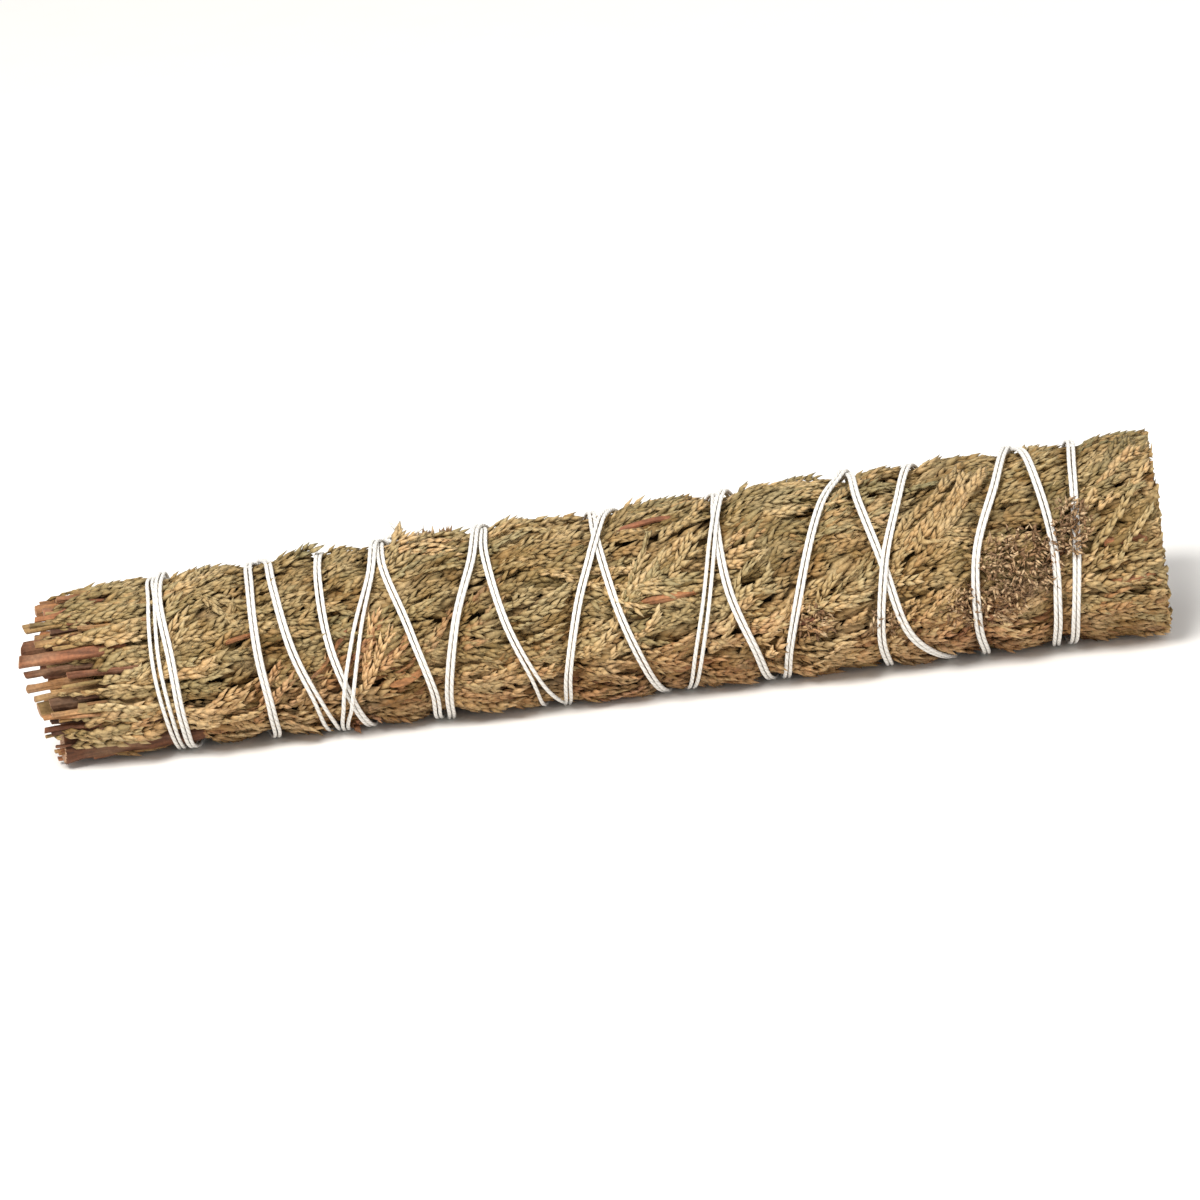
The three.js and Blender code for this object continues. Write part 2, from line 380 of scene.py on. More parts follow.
def heading(x, angle):
    # The lay of the leaves, in degrees up to the right, which changes slowly over the surface
    return (9 + 9 * math.sin(x / 17 + 2.2 * math.sin(angle)) + 6 * math.sin(x / 8.5 - 3 * angle + 1)
            + 5 * math.cos(4 * angle + x / 23))


shootKeys = ("x", "angle", "heading", "bend", "length", "baseDepth", "tipDepth", "scale", "tone", "shade",
             "roll", "cut")


def shootTable(rows):
    return {key: np.array([row[key] for row in rows], float) for key in shootKeys}


def cutAt(angle):
    # Where the tips are cut, not quite square
    return bundle["halfLength"] - 2.2 - 0.5 * math.sin(angle + 0.6) - abs(rng.normal(0, 0.7))


def toneAt(angle):
    # 0 is grey green, 0.5 tan, 1 orange brown; browner towards the underside, which is painted shade with
    # warm bounced light
    under = smoothStep(-math.sin(angle), -0.1, 0.85)
    return float(np.clip(rng.normal(0.36 + 0.34 * under, 0.09), 0, 1))


def sprayRows(x, angle, lay, length, tone, baseDepth, tipDepth, scale=1.0):
    shade = rng.random()
    main = dict(x=x, angle=angle, heading=lay * degree, bend=rng.normal(0, 0.35) * degree, length=length,
                baseDepth=baseDepth, tipDepth=tipDepth, scale=scale, tone=tone, shade=shade,
                roll=rng.normal(0, 0.5), cut=cutAt(angle))
    rows = [main]
    start = spray["sideStart"] + 2 * rng.random()
    hand = 1 if rng.random() < 0.5 else -1
    while start < length - 4:
        turn = main["heading"] + main["bend"] * start
        share = start / length
        lean = hand * rng.uniform(*spray["sideAngle"])
        reach = rng.uniform(*spray["sideLength"]) * (1.15 - 0.55 * share) * scale
        rows.append(dict(
            main, x=x + start * math.cos(turn), angle=angle - start * math.sin(turn) / radiusAt(x),
            heading=turn + lean * degree, bend=-0.75 * lean * degree / reach, length=reach,
            baseDepth=baseDepth * (1 - share) ** 1.3 + tipDepth * share + 0.35,
            tipDepth=tipDepth + rng.uniform(-0.3, 0.9), scale=scale * rng.uniform(0.8, 1.05),
            tone=float(np.clip(tone + rng.normal(0, 0.05), 0, 1)), roll=rng.normal(0, 0.7)))
        start += spray["sideSpacing"] * rng.uniform(0.7, 1.3)
        hand = -hand if rng.random() < 0.85 else hand
    return rows


def outerLeaves(heap, middleAngle):
    # Overlapping sprays along one outer sprig, over a deeper layer of plain shoots
    rows = []
    for x in np.arange(-95, 106, spray["spacing"]):
        x = x + rng.uniform(-3, 3)
        angle = middleAngle + rng.uniform(-10, 10) * degree
        lay = heading(x, angle) + rng.normal(0, 7)
        rows += sprayRows(x, angle, lay, rng.uniform(*spray["length"]), toneAt(angle),
                          rng.uniform(*spray["baseDepth"]), rng.uniform(*spray["tipDepth"]))
    for row in range(3):
        for x in np.arange(-100, 104, 19):
            angle = middleAngle + ((row - 1) * 8.5 + rng.uniform(-2, 2)) * degree
            rows.append(dict(x=x + rng.uniform(-4, 4), angle=angle, heading=heading(x, angle) * degree,
                             bend=0, length=24, baseDepth=3.0, tipDepth=2.1, scale=1.6,
                             tone=toneAt(angle), shade=rng.random(), roll=0, cut=cutAt(angle)))
    for count in range(8):     # the stem end, where the shoots lie level and end in cut stubs
        angle = middleAngle + rng.uniform(-13, 13) * degree
        x = rng.uniform(-110, -95)
        depth = rng.uniform(0.2, 2.6)
        rows.append(dict(x=x, angle=angle, heading=rng.normal(3, 6) * degree,
                         bend=rng.normal(0, 0.25) * degree, length=rng.uniform(12, 22),
                         baseDepth=depth, tipDepth=rng.uniform(0, 1.4),
                         scale=rng.uniform(0.9, 1.3), tone=toneAt(angle), shade=rng.random(),
                         roll=rng.normal(0, 0.6), cut=200))
        end = max(x - rng.uniform(0.4, 6), -110 + rng.uniform(0, 5))
        line = stemLine(end, angle, depth + 0.25, 14, wave=0.3)
        addStem(heap, line, rng.uniform(0.3, 0.65) * twigTaper, rng.random() ** 1.5, rng.uniform(0, 9), 0.2)
    for count in range(spray["crossing"]):     # sprays that lie steeply across the rest
        x = rng.uniform(-92, 98)
        angle = middleAngle + rng.uniform(-12, 12) * degree
        lay = heading(x, angle) + rng.choice((1, 1, 1, -0.7)) * rng.uniform(16, 42)
        rows += sprayRows(x, angle, lay, rng.uniform(9, 17), toneAt(angle) + 0.03, 0.9,
                          rng.uniform(-0.1, 0.6), 0.9)
    rows = [row for row in rows if not besideThickStem(row["x"], row["angle"])]
    growShoots(heap, shootTable(rows))


def besideThickStem(x, angle):
    # The thick bark-covered stem stays in view at the cut end
    turn = (angle / degree) % 360
    return x < -89 and 221 < turn < 247


def sectorBody(heap, low, high, outerOf, innerOf, start, end):
    # The packed leaves under the shoots, as a closed wedge along the bundle, coloured dark as painted
    # shadow
    places = np.linspace(start, end, 40)
    sections = []
    for x in places:
        outer = np.linspace(low, high, 6)
        inner = np.linspace(high, low, 3)
        xs = np.full(6, x)
        top = outerOf(xs, outer)
        centre = centreAt(x)
        depths = innerOf(x)
        lower = np.stack([np.full(3, x), depths * np.cos(inner), centre + depths * np.sin(inner)], -1)
        sections.append(np.concatenate([top, lower]))
    points = np.array(sections)
    rows, columns = points.shape[:2]
    faces = []
    for row in range(rows - 1):
        for column in range(columns):
            a = row * columns + column
            b = row * columns + (column + 1) % columns
            faces += [[a, b, b + columns], [a, b + columns, a + columns]]
    last = (rows - 1) * columns
    for column in range(1, columns - 1):
        faces += [[0, column + 1, column], [last, last + column, last + column + 1]]
    tones = np.tile((0.5, 0.5, 0.5, 0.5), (rows * columns, 1))
    heap.add(points.reshape(-1, 3), np.array(faces), tones, 1)


# Bare stems.

def stemShape():
    # A cut stick along X from 0 to 1 with a rounded rim at its cut end; its radius is 1
    deselectAll()
    bpy.ops.mesh.primitive_cylinder_add(vertices=10, radius=1, depth=1, end_fill_type="NGON",
                                        rotation=(0, 90 * degree, 0), location=(0.5, 0, 0))
    applyPlace(bpy.context.object)
    stem = bpy.context.object
    bpy.ops.object.mode_set(mode="EDIT")
    bpy.ops.mesh.select_all(action="DESELECT")
    bpy.ops.object.mode_set(mode="OBJECT")
    for edge in stem.data.edges:
        ends = [stem.data.vertices[number].co.x for number in edge.vertices]
        edge.select = abs(ends[0] - ends[1]) > 0.5
    bpy.ops.object.mode_set(mode="EDIT")
    bpy.ops.mesh.subdivide(number_cuts=7)
    bpy.ops.mesh.select_all(action="DESELECT")
    bpy.ops.object.mode_set(mode="OBJECT")
    for polygon in stem.data.polygons:
        polygon.select = abs(polygon.normal.x) > 0.9
    bpy.ops.object.mode_set(mode="EDIT")
    bpy.ops.mesh.inset(thickness=0.14, use_individual=True)
    bpy.ops.mesh.inset(thickness=0.45, use_individual=True)
    bpy.ops.object.mode_set(mode="OBJECT")
    return templateOf(stem)


stemPoints, stemFaces = stemShape()


def addStem(heap, middleLine, radii, tone, seed, barkDepth=0.10, flat=1.0):
    # Bends the straight stick along a line of points in mm; its cut faces take the wood slot
    middleLine = np.array(middleLine, float)
    along = np.linspace(0, 1, len(middleLine))
    t = np.clip(stemPoints[:, 0], 0, 1)
    centre = np.stack([np.interp(t, along, middleLine[:, axis]) for axis in range(3)], -1)
    slope = np.gradient(middleLine, axis=0)
    ahead = unit(np.stack([np.interp(t, along, slope[:, axis]) for axis in range(3)], -1))
    side = unit(np.cross((0.05, 0.1, 1.0), ahead))
    up = np.cross(ahead, side)
    turn = np.arctan2(stemPoints[:, 2], stemPoints[:, 1])
    reach = np.hypot(stemPoints[:, 1], stemPoints[:, 2])
    length = np.linalg.norm(middleLine[-1] - middleLine[0])
    place = t * length
    ridges = (np.sin(3 * turn + seed + 0.7 * np.sin(place / 2.1 + seed)) + 0.7 * np.sin(5 * turn - 2 * seed)
              + 0.8 * np.sin(place / 1.3 + 2 * turn + 3 * seed))
    radius = np.interp(t, along, radii) * (1 + barkDepth * 0.6 * ridges)
    inner = reach < 0.93
    end = np.where(t < 0.5, -1.0, 1.0)
    bulge = np.where(inner, 0.10 * radii[0] * end * (1 - 0.3 * np.cos(turn + seed)), 0)
    slant = np.where((t < 0.001) | (t > 0.999), 0.22 * np.cos(turn + seed) * reach * radius, 0)
    points = (centre + side * (radius * reach * np.cos(turn))[:, None]
              + up * (radius * flat * reach * np.sin(turn))[:, None] + ahead * (bulge + slant)[:, None])
    points[:, 2] = np.maximum(points[:, 2], 0.05)
    cut = inner[stemFaces].all(1) | (reach[stemFaces].mean(1) < 0.9)
    tones = np.stack([np.full(len(t), tone), turn / (2 * math.pi) + 0.5, place / 10,
                      np.full(len(t), seed % 1)], -1)
    heap.add(points, stemFaces, tones, np.where(cut, 3, 2))


twigTaper = np.array([1, 1, 1.03, 1.05, 1.05, 1.0, 0.8])


def stemLine(x, angle, depth, length, droop=0.0, drift=0.0, steps=7, wave=0.25):
    # Middle line of a stem from its cut end at x into the bundle, in mm
    share = np.linspace(0, 1, steps)
    xs = x + length * share
    angles = angle + (drift * share * share + 0.6 * wave * np.sin(5 * share + x) / 18)
    depths = depth + droop * (1 - share) ** 2 + 0.9 * share + wave * np.sin(4.3 * share + 2 * x)
    radius = radiusAt(xs) - depths
    return np.stack([xs, radius * np.cos(angles), centreAt(xs) + radius * np.sin(angles)], -1)


# Stems seen on the -Y side: end, angle, depth, length, radius, and tone (0 tan, 0.5 red brown, 1 dark)
seenStems = [
    dict(x=-104.5, angle=88, depth=0.7, length=12, radius=0.75, tone=0.45, droop=0.3),
    dict(x=-107.2, angle=99, depth=2.6, length=13, radius=1.7, tone=0.55, droop=0.4),
    dict(x=-111.0, angle=114, depth=1.5, length=19, radius=0.95, tone=0.12, droop=0.9, drift=0.20,
         wave=0.5),
    dict(x=-109.3, angle=122, depth=2.6, length=13, radius=0.75, tone=0.25, droop=0.8, drift=-0.05),
    dict(x=-111.6, angle=131, depth=2.7, length=14, radius=1.45, tone=0.80, droop=0.3),
    dict(x=-112.3, angle=143, depth=1.3, length=21, radius=1.25, tone=0.52, droop=0.1, wave=0.15),
    dict(x=-111.5, angle=152, depth=2.3, length=14, radius=0.7, tone=0.85, droop=0.7, wave=0.4),
    dict(x=-111.3, angle=163, depth=2.3, length=13, radius=0.85, tone=0.30, droop=0.3, wave=0.4),
    dict(x=-110.2, angle=172, depth=2.0, length=13, radius=0.6, tone=0.15, droop=0.2, wave=0.5),
    dict(x=-107.2, angle=179, depth=3.3, length=12, radius=1.5, tone=0.95, droop=0.0),
    dict(x=-109.2, angle=189, depth=1.6, length=15, radius=1.2, tone=0.32, droop=0.2, flat=0.4, wave=0.4),
    dict(x=-107.8, angle=203, depth=2.3, length=12, radius=0.8, tone=0.60, droop=0.4),
    dict(x=-106.9, angle=232, depth=2.9, length=28, radius=3.2, tone=0.80, droop=-0.3, wave=0.5),
]

# Short lengths of bare red-brown twig lying among the leaves: place, angle, length, radius, tone, lay
bareTwigs = [
    dict(x=9.5, angle=160, length=12, radius=0.75, tone=0.42, lay=4),
    dict(x=4.5, angle=108, length=15, radius=0.55, tone=0.55, lay=12),
    dict(x=-56.0, angle=186, length=15, radius=1.3, tone=0.33, lay=52, flat=0.3),
    dict(x=-51.5, angle=172, length=9, radius=1.0, tone=0.45, lay=62, flat=0.3),
    dict(x=-41.0, angle=196, length=8, radius=0.7, tone=0.35, lay=20),
    dict(x=36.0, angle=187, length=9, radius=0.8, tone=0.55, lay=4),
    dict(x=-72.0, angle=150, length=7, radius=0.5, tone=0.40, lay=12),
    dict(x=100.0, angle=186, length=10, radius=0.7, tone=0.40, lay=6),
    dict(x=14.0, angle=214, length=9, radius=0.6, tone=0.35, lay=10),
    dict(x=-24.0, angle=222, length=8, radius=0.6, tone=0.30, lay=16),
    dict(x=60.0, angle=30, length=12, radius=0.8, tone=0.50, lay=8),
    dict(x=-20.0, angle=350, length=10, radius=0.7, tone=0.45, lay=-6),
    dict(x=-60.0, angle=15, length=9, radius=0.6, tone=0.40, lay=12),
    dict(x=20.0, angle=60, length=8, radius=0.6, tone=0.35, lay=15),
]


# Longer shoots that lie across the others: start, angle, lay and length
crossShoots = [
    dict(x=56, angle=172, lay=50, length=24, tone=0.52),
    dict(x=60, angle=168, lay=46, length=26, tone=0.55),
    dict(x=63, angle=158, lay=56, length=20, tone=0.50),
    dict(x=58, angle=150, lay=40, length=22, tone=0.48),
    dict(x=67, angle=150, lay=52, length=18, tone=0.55),
    dict(x=92, angle=150, lay=44, length=20, tone=0.55),
    dict(x=98, angle=146, lay=38, length=16, tone=0.50),
    dict(x=96, angle=168, lay=50, length=15, tone=0.38),
    dict(x=100, angle=178, lay=46, length=14, tone=0.35),
    dict(x=20, angle=206, lay=52, length=15, tone=0.55),
    dict(x=26, angle=210, lay=44, length=17, tone=0.60),
    dict(x=31, angle=214, lay=50, length=15, tone=0.58),
    dict(x=-4, angle=196, lay=48, length=13, tone=0.52),
    dict(x=1, angle=198, lay=42, length=14, tone=0.50),
    dict(x=-36, angle=204, lay=-28, length=16, tone=0.60),
    dict(x=-75, angle=200, lay=-30, length=14, tone=0.62),
    dict(x=-70, angle=206, lay=-26, length=15, tone=0.66),
    dict(x=46, angle=122, lay=55, length=13, tone=0.50),
    dict(x=70, angle=20, lay=48, length=20, tone=0.52),
    dict(x=20, angle=10, lay=45, length=18, tone=0.55),
    dict(x=-30, angle=345, lay=50, length=16, tone=0.50),
    dict(x=-50, angle=40, lay=44, length=17, tone=0.48),
]

# Clumps of dried seed cones and flowers: middle, angle, half length, half width in degrees, copies, lift
flowerClumps = [
    dict(x=84, angle=166, halfLength=8.0, halfAngle=19, copies=400, lift=0.75),
    dict(x=76, angle=190, halfLength=8.0, halfAngle=13, copies=240, lift=0.6),
    dict(x=94.5, angle=150, halfLength=3.6, halfAngle=15, copies=200, lift=2.0),
    dict(x=43, angle=186, halfLength=3.5, halfAngle=9, copies=80, lift=0.3),
    dict(x=57, angle=192, halfLength=4, halfAngle=8, copies=80, lift=0.3),
    dict(x=40, angle=18, halfLength=5, halfAngle=12, copies=120, lift=0.3),
    dict(x=-30, angle=60, halfLength=4, halfAngle=10, copies=90, lift=0.3),
]


def addFlowers(heap, clump):
    # Small curled scales pointing every way, thickest in the middle of the clump
    count = clump["copies"]
    reach = np.sqrt(rng.random(count))
    turn = rng.uniform(0, 2 * math.pi, count)
    x = clump["x"] + clump["halfLength"] * reach * np.cos(turn)
    angle = (clump["angle"] + clump["halfAngle"] * reach * np.sin(turn)) * degree
    depth = 0.9 - clump["lift"] - rng.random(count) * 1.1 * (1.1 - reach)
    base = surfacePoint(x, angle, depth)
    normal = surfaceNormal(x, angle)
    aim = unit(rng.normal(0, 1, (count, 3)) + 0.7 * normal + (0.5, 0, 0))
    up = unit(rng.normal(0, 1, (count, 3)) + normal)
    size = np.stack([rng.uniform(1.3, 2.8, count), rng.uniform(0.4, 0.85, count),
                     rng.uniform(0.3, 0.6, count)], -1)
    tone = rng.random((count, 3))
    addCopies(heap, scaleShapes[0], base, aim, up, size, tone, 4)


def sprigOf(angleDegrees, count):
    return int(round((angleDegrees - 270) / (360 / count))) % count


def outerSprigAt(angleDegrees):
    return sprigOf(angleDegrees, bundle["outerSprigs"])


def addBareTwig(heap, twig):
    share = np.linspace(0, 1, 7)
    length = twig["length"]
    xs = twig["x"] + length * share * math.cos(twig["lay"] * degree)
    angles = twig["angle"] * degree - length * share * math.sin(twig["lay"] * degree) / radiusAt(xs)
    depths = 0.75 + 1.2 * (2 * share - 1) ** 4
    line = surfacePoint(xs, angles, depths)
    radii = twig["radius"] * np.array([0.7, 1, 1.05, 1, 0.95, 0.85, 0.6])
    addStem(heap, line, radii, twig["tone"], twig["x"] * 0.7, 0.16, twig.get("flat", 1.0))


def buildOuterSprig(number):
    heap = Heap()
    middleAngle = (270 + number * 360 / bundle["outerSprigs"]) * degree
    half = 180 / bundle["outerSprigs"] * degree
    outerLeaves(heap, middleAngle)
    sectorBody(heap, middleAngle - half, middleAngle + half,
               lambda xs, angles: surfacePoint(xs, angles, bundle["bodyDepth"]),
               lambda x: radiusAt(x) * bundle["innerShare"] + 0.2,
               -99, bundle["halfLength"] - 2.4)
    for stem in seenStems:
        if outerSprigAt(stem["angle"]) == number:
            line = stemLine(stem["x"], stem["angle"] * degree, stem["depth"], stem["length"],
                            stem.get("droop", 0), stem.get("drift", 0), wave=stem.get("wave", 0.25))
            radii = stem["radius"] * twigTaper
            addStem(heap, line, radii, stem["tone"], stem["x"] * 0.9 + stem["angle"], 0.14,
                    stem.get("flat", 1.0))
    for extra in range(3 if number in (0, 1, 2, 3, 4, 5, 6) else 1):
        angle = middleAngle + rng.uniform(-11, 11) * degree
        depth = rng.uniform(1.4, 4.2)
        line = stemLine(rng.uniform(-111, -101), angle, depth, rng.uniform(12, 20), rng.uniform(0, 0.6))
        radii = rng.uniform(0.45, 1.2) * twigTaper
        addStem(heap, line, radii, rng.random(), rng.uniform(0, 9), 0.18)
    for twig in bareTwigs:
        if outerSprigAt(twig["angle"]) == number:
            addBareTwig(heap, twig)
    for clump in flowerClumps:
        if outerSprigAt(clump["angle"]) == number:
            addFlowers(heap, clump)
    rows = [dict(x=shoot["x"], angle=shoot["angle"] * degree, heading=shoot["lay"] * degree,
                 bend=rng.normal(0, 0.4) * degree, length=shoot["length"], baseDepth=0.7,
                 tipDepth=rng.uniform(-0.2, 0.2), scale=rng.uniform(0.85, 1.0), tone=shoot["tone"],
                 shade=rng.random(), roll=rng.normal(0, 0.4), cut=cutAt(shoot["angle"] * degree))
            for shoot in crossShoots if outerSprigAt(shoot["angle"]) == number]
    if rows:
        growShoots(heap, shootTable(rows))
    tipStubs(heap, lambda angle, share: (outerSprigAt(angle / degree) == number
                                         and share > bundle["innerShare"]))
    piece = heap.piece(f"sprig_{number + 1:02d}", leafMaterials)
    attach(piece, "root")
    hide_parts(f"outer_sprig_{number + 1:02d}")


# The cut tips.

tips = dict(count=260, length=(3.5, 6), scale=(1.0, 1.3), stemEvery=9)


def tipPlaces():
    # Evenly strewn over the cut end: angle, share of the radius, and a few random draws
    number = np.arange(tips["count"]) + 0.5
    share = np.sqrt(number / tips["count"]) * 0.95
    angle = (number * 137.508 * degree) % (2 * math.pi)
    draws = np.random.default_rng(77).random((tips["count"], 5))
    return list(zip(angle, share, draws))


def tipStubs(heap, belongs):
    rows = []
    for count, (angle, share, draw) in enumerate(tipPlaces()):
        if not belongs(angle, share):
            continue
        end = bundle["halfLength"] - 2.2 - 1.6 * draw[0]
        depth = float(outerRadius(np.array(end), np.array(angle))) * (1 - share)
        if count % tips["stemEvery"] == 0:
            line = stemLine(end - 8, angle, depth, 8.2, wave=0.1)
            line[:, 1:] = line[-1, 1:] + (line[:, 1:] - line[-1, 1:]) * 0.3
            addStem(heap, line, (0.5 + 0.7 * draw[1]) * np.ones(7), 0.3 + 0.5 * draw[2], 9 * draw[3], 0.08)
            continue
        length = tips["length"][0] + draw[1] * (tips["length"][1] - tips["length"][0])
        scale = tips["scale"][0] + draw[2] * (tips["scale"][1] - tips["scale"][0])
        rows.append(dict(x=end - length, angle=angle + 0.25 * (draw[3] - 0.5),
                         heading=(draw[4] - 0.5) * 0.5,
                         bend=0, length=length, baseDepth=depth, tipDepth=depth + draw[3] - 0.5,
                         scale=scale, tone=0.2 + 0.5 * draw[4], shade=draw[0], roll=6.3 * draw[1], cut=200))
    if rows:
        growShoots(heap, shootTable(rows), grooved=False)


def buildInnerSprig(number):
    heap = Heap()
    middleAngle = (270 + number * 360 / bundle["innerSprigs"]) * degree
    half = 180 / bundle["innerSprigs"] * degree

    def outerOf(xs, angles):
        radius = radiusAt(xs) * bundle["innerShare"] - 0.3
        return np.stack([xs, radius * np.cos(angles), centreAt(xs) + radius * np.sin(angles)], -1)

    sectorBody(heap, middleAngle - half + 0.02, middleAngle + half - 0.02, outerOf,
               lambda x: radiusAt(x) * bundle["middleShare"] + 0.2, -98, bundle["halfLength"] - 2.6)
    for extra in range(5):
        angle = middleAngle + rng.uniform(-22, 22) * degree
        depth = rng.uniform(7, 13)
        line = stemLine(rng.uniform(-110.5, -103), angle, depth, rng.uniform(9, 14), rng.uniform(0, 0.5))
        radii = rng.uniform(0.7, 1.7) * twigTaper
        addStem(heap, line, radii, rng.random(), rng.uniform(0, 9), 0.10)
    rows = []
    for extra in range(9):
        rows.append(dict(x=rng.uniform(-109, -103), angle=middleAngle + rng.uniform(-24, 24) * degree,
                         heading=rng.normal(0, 4) * degree, bend=0, length=rng.uniform(9, 13),
                         baseDepth=rng.uniform(5.5, 13), tipDepth=rng.uniform(6, 12),
                         scale=rng.uniform(1, 1.3),
                         tone=rng.uniform(0.2, 0.8), shade=rng.random(), roll=rng.uniform(0, 6), cut=200))
    growShoots(heap, shootTable(rows), grooved=False)

    def belongs(angle, share):
        within = bundle["middleShare"] < share <= bundle["innerShare"]
        return within and sprigOf(angle / degree, bundle["innerSprigs"]) == number

    tipStubs(heap, belongs)
    piece = heap.piece(f"filler_sprig_{number + 1}", leafMaterials)
    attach(piece, "root")
    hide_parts(f"inner_sprig_{number + 1}")


def buildMiddleBranch():
    heap = Heap()
    xs = np.linspace(-108.6, bundle["halfLength"] - 2.0, 15)
    line = np.stack([xs, 0.25 * np.sin(xs / 9), centreAt(xs) + 0.25 * np.cos(xs / 13)], -1)
    radii = np.interp(xs, [-108.6, -90, 90, 110], [1.9, 2.3, 3.4, 2.2])
    addStem(heap, line, radii, 0.6, 2.3, 0.10)
    tipStubs(heap, lambda angle, share: share <= bundle["middleShare"])
    piece = heap.piece("centre_branch", leafMaterials)
    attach(piece, "root")
    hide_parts("middle_branch")


# The cotton thread.

# Places where the two strands stand apart: turn, angle, extra spacing in mm, width of the place in degrees
strandGaps = [(6, 248, 3.2, 32), (18, 185, 0.9, 40), (15, 190, 0.5, 50), (1, 150, 0.5, 60),
              (3, 230, 1.2, 30)]


def strandLifts(places):
    # A later turn rises over every earlier turn that it meets
    lifts = np.zeros(len(places))
    for here in range(perTurn, len(places)):
        below = np.arange(here - perTurn, -1, -perTurn)
        near = 1 - smoothStep(np.abs(places[here] - places[below]), thread["crossNear"], thread["crossFar"])
        lifts[here] = ((lifts[below] + thread["layerPitch"]) * near).max()
    soft = np.convolve(np.pad(lifts, 2, mode="edge"), [0.1, 0.2, 0.4, 0.2, 0.1], mode="valid")
    return np.maximum(soft, 0.9 * lifts)


def strandLine():
    angles = routeAngles * degree
    lifts = strandLifts(routePlaces)
    angles = angles % (2 * math.pi)
    radius = outerRadius(routePlaces, angles) - thread["sink"] + lifts
    z = centreAt(routePlaces) + radius * np.sin(angles)
    z = np.maximum(z, thread["strandRadius"] + 0.05)
    return np.stack([routePlaces, radius * np.cos(angles), z], -1), surfaceNormal(routePlaces, angles)


def addTube(heap, line, radius, sides, uvs, taper=0.0):
    # A closed round tube along a line in mm; its tone values hold the length along it in mm and the turn
    ahead = unit(np.gradient(line, axis=0))
    side = unit(np.cross(np.array((0.31, 0.2, 0.93)), ahead))
    for step in range(1, len(side)):      # carries the frame along without a twist
        side[step] = side[step - 1] - ahead[step] * np.dot(side[step - 1], ahead[step])
        side[step] /= np.linalg.norm(side[step])
    up = np.cross(ahead, side)
    turn = np.arange(sides) * 2 * math.pi / sides
    share = np.linspace(0, 1, len(line))
    radii = radius * (1 - taper * smoothStep(share, 0.6, 1.0))
    rings = (line[:, None] + radii[:, None, None] * (side[:, None] * np.cos(turn)[None, :, None]
                                                     + up[:, None] * np.sin(turn)[None, :, None]))
    rings[..., 2] = np.maximum(rings[..., 2], 0.03)
    points = np.concatenate([rings.reshape(-1, 3), line[:1], line[-1:]])
    row, column = np.meshgrid(np.arange(len(line) - 1), np.arange(sides), indexing="ij")
    a = (row * sides + column).ravel()
    b = (row * sides + (column + 1) % sides).ravel()
    faces = np.concatenate([np.stack([a, b, b + sides], -1), np.stack([a, b + sides, a + sides], -1)])
    first, last = len(points) - 2, len(points) - 1
    ring = np.arange(sides)
    after = (ring + 1) % sides
    end = (len(line) - 1) * sides
    caps = np.concatenate([np.stack([np.full(sides, first), after, ring], -1),
                           np.stack([np.full(sides, last), end + ring, end + after], -1)])
    faces = np.concatenate([faces, caps])
    length = np.concatenate([[0], np.cumsum(np.linalg.norm(np.diff(line, axis=0), axis=1))])
    tones = np.zeros((len(points), 4))
    tones[:-2, 0] = np.repeat(length, sides)
    tones[-1, 0] = length[-1]
    tones[:-2, 1] = np.tile(np.cos(turn), len(line))
    tones[:-2, 2] = np.tile(np.sin(turn), len(line))
    tones[:, 3] = uvs
    heap.add(points, faces, tones, 0)
    return length[-1]


def buildThread():
    heap = Heap()
    line, normal = strandLine()
    ahead = unit(np.gradient(line, axis=0))
    across = unit(np.cross(normal, ahead))
    spacing = thread["strandSpacing"] + 0.08 * np.sin(routeAngles / 47) * np.sin(routeAngles / 13)
    for turn, angle, extra, width in strandGaps:
        away = (routeAngles - angle - 360 * turn) / width
        spacing = spacing + extra * np.exp(-away * away)
    total = 0
    for hand in (-1, 1):
        strand = line + across * (0.5 * hand * spacing)[:, None]
        total += addTube(heap, strand, thread["strandRadius"], thread["sides"], 0.25 + 0.25 * hand)
    knots(heap, line, normal, ahead, across)
    piece = heap.piece("cotton_thread", [threadMaterial])
    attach(piece, "root")
    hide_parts("wrap_thread")
    print(f"thread: {total:.0f} mm of single strand")


def knots(heap, line, normal, ahead, across):
    # A small overhand knot near each end, and the loose tails
    for place in (6, len(line) - 5):
        middle = line[place] + 0.25 * normal[place]
        sweep = np.linspace(0, 1, 40)
        turn = sweep * 4.2 * math.pi
        loop = (middle + np.outer(np.cos(turn) * 0.95, across[place]) + np.outer(np.sin(turn) * 0.62,
                                                                                 normal[place])
                + np.outer((sweep - 0.5) * 1.9 + 0.3 * np.sin(turn * 0.5), ahead[place]))
        addTube(heap, loop, thread["strandRadius"] * 0.95, thread["sides"], 0.5)
    start = line[-1]
    up = normal[-1]
    for lean, length, swing in ((-0.5, 7.5, 0.35), (0.75, 5.0, -0.5)):
        share = np.linspace(0, 1, 12)[:, None]
        tail = start + share * length * (0.55 * up + lean * ahead[-1] + 0.35 * across[-1] * lean)
        tail = tail + np.sin(share * 3.1) * swing * across[-1] + (share ** 2) * np.array((0.8, -0.6, 0.4))
        addTube(heap, tail, thread["strandRadius"] * 0.9, thread["sides"], 0.7, taper=0.3)
    start = line[0]
    for lean, length in ((-1.0, 4.5), (-0.8, 6.0)):
        share = np.linspace(0, 1, 10)[:, None]
        tail = start + share * length * (lean * ahead[0] + 0.12 * normal[0])
        tail = tail + np.sin(share * 2.6) * 0.6 * across[0] * (1 + lean)
        addTube(heap, tail, thread["strandRadius"] * 0.9, thread["sides"], 0.7, taper=0.3)


# Loose scraps on top.

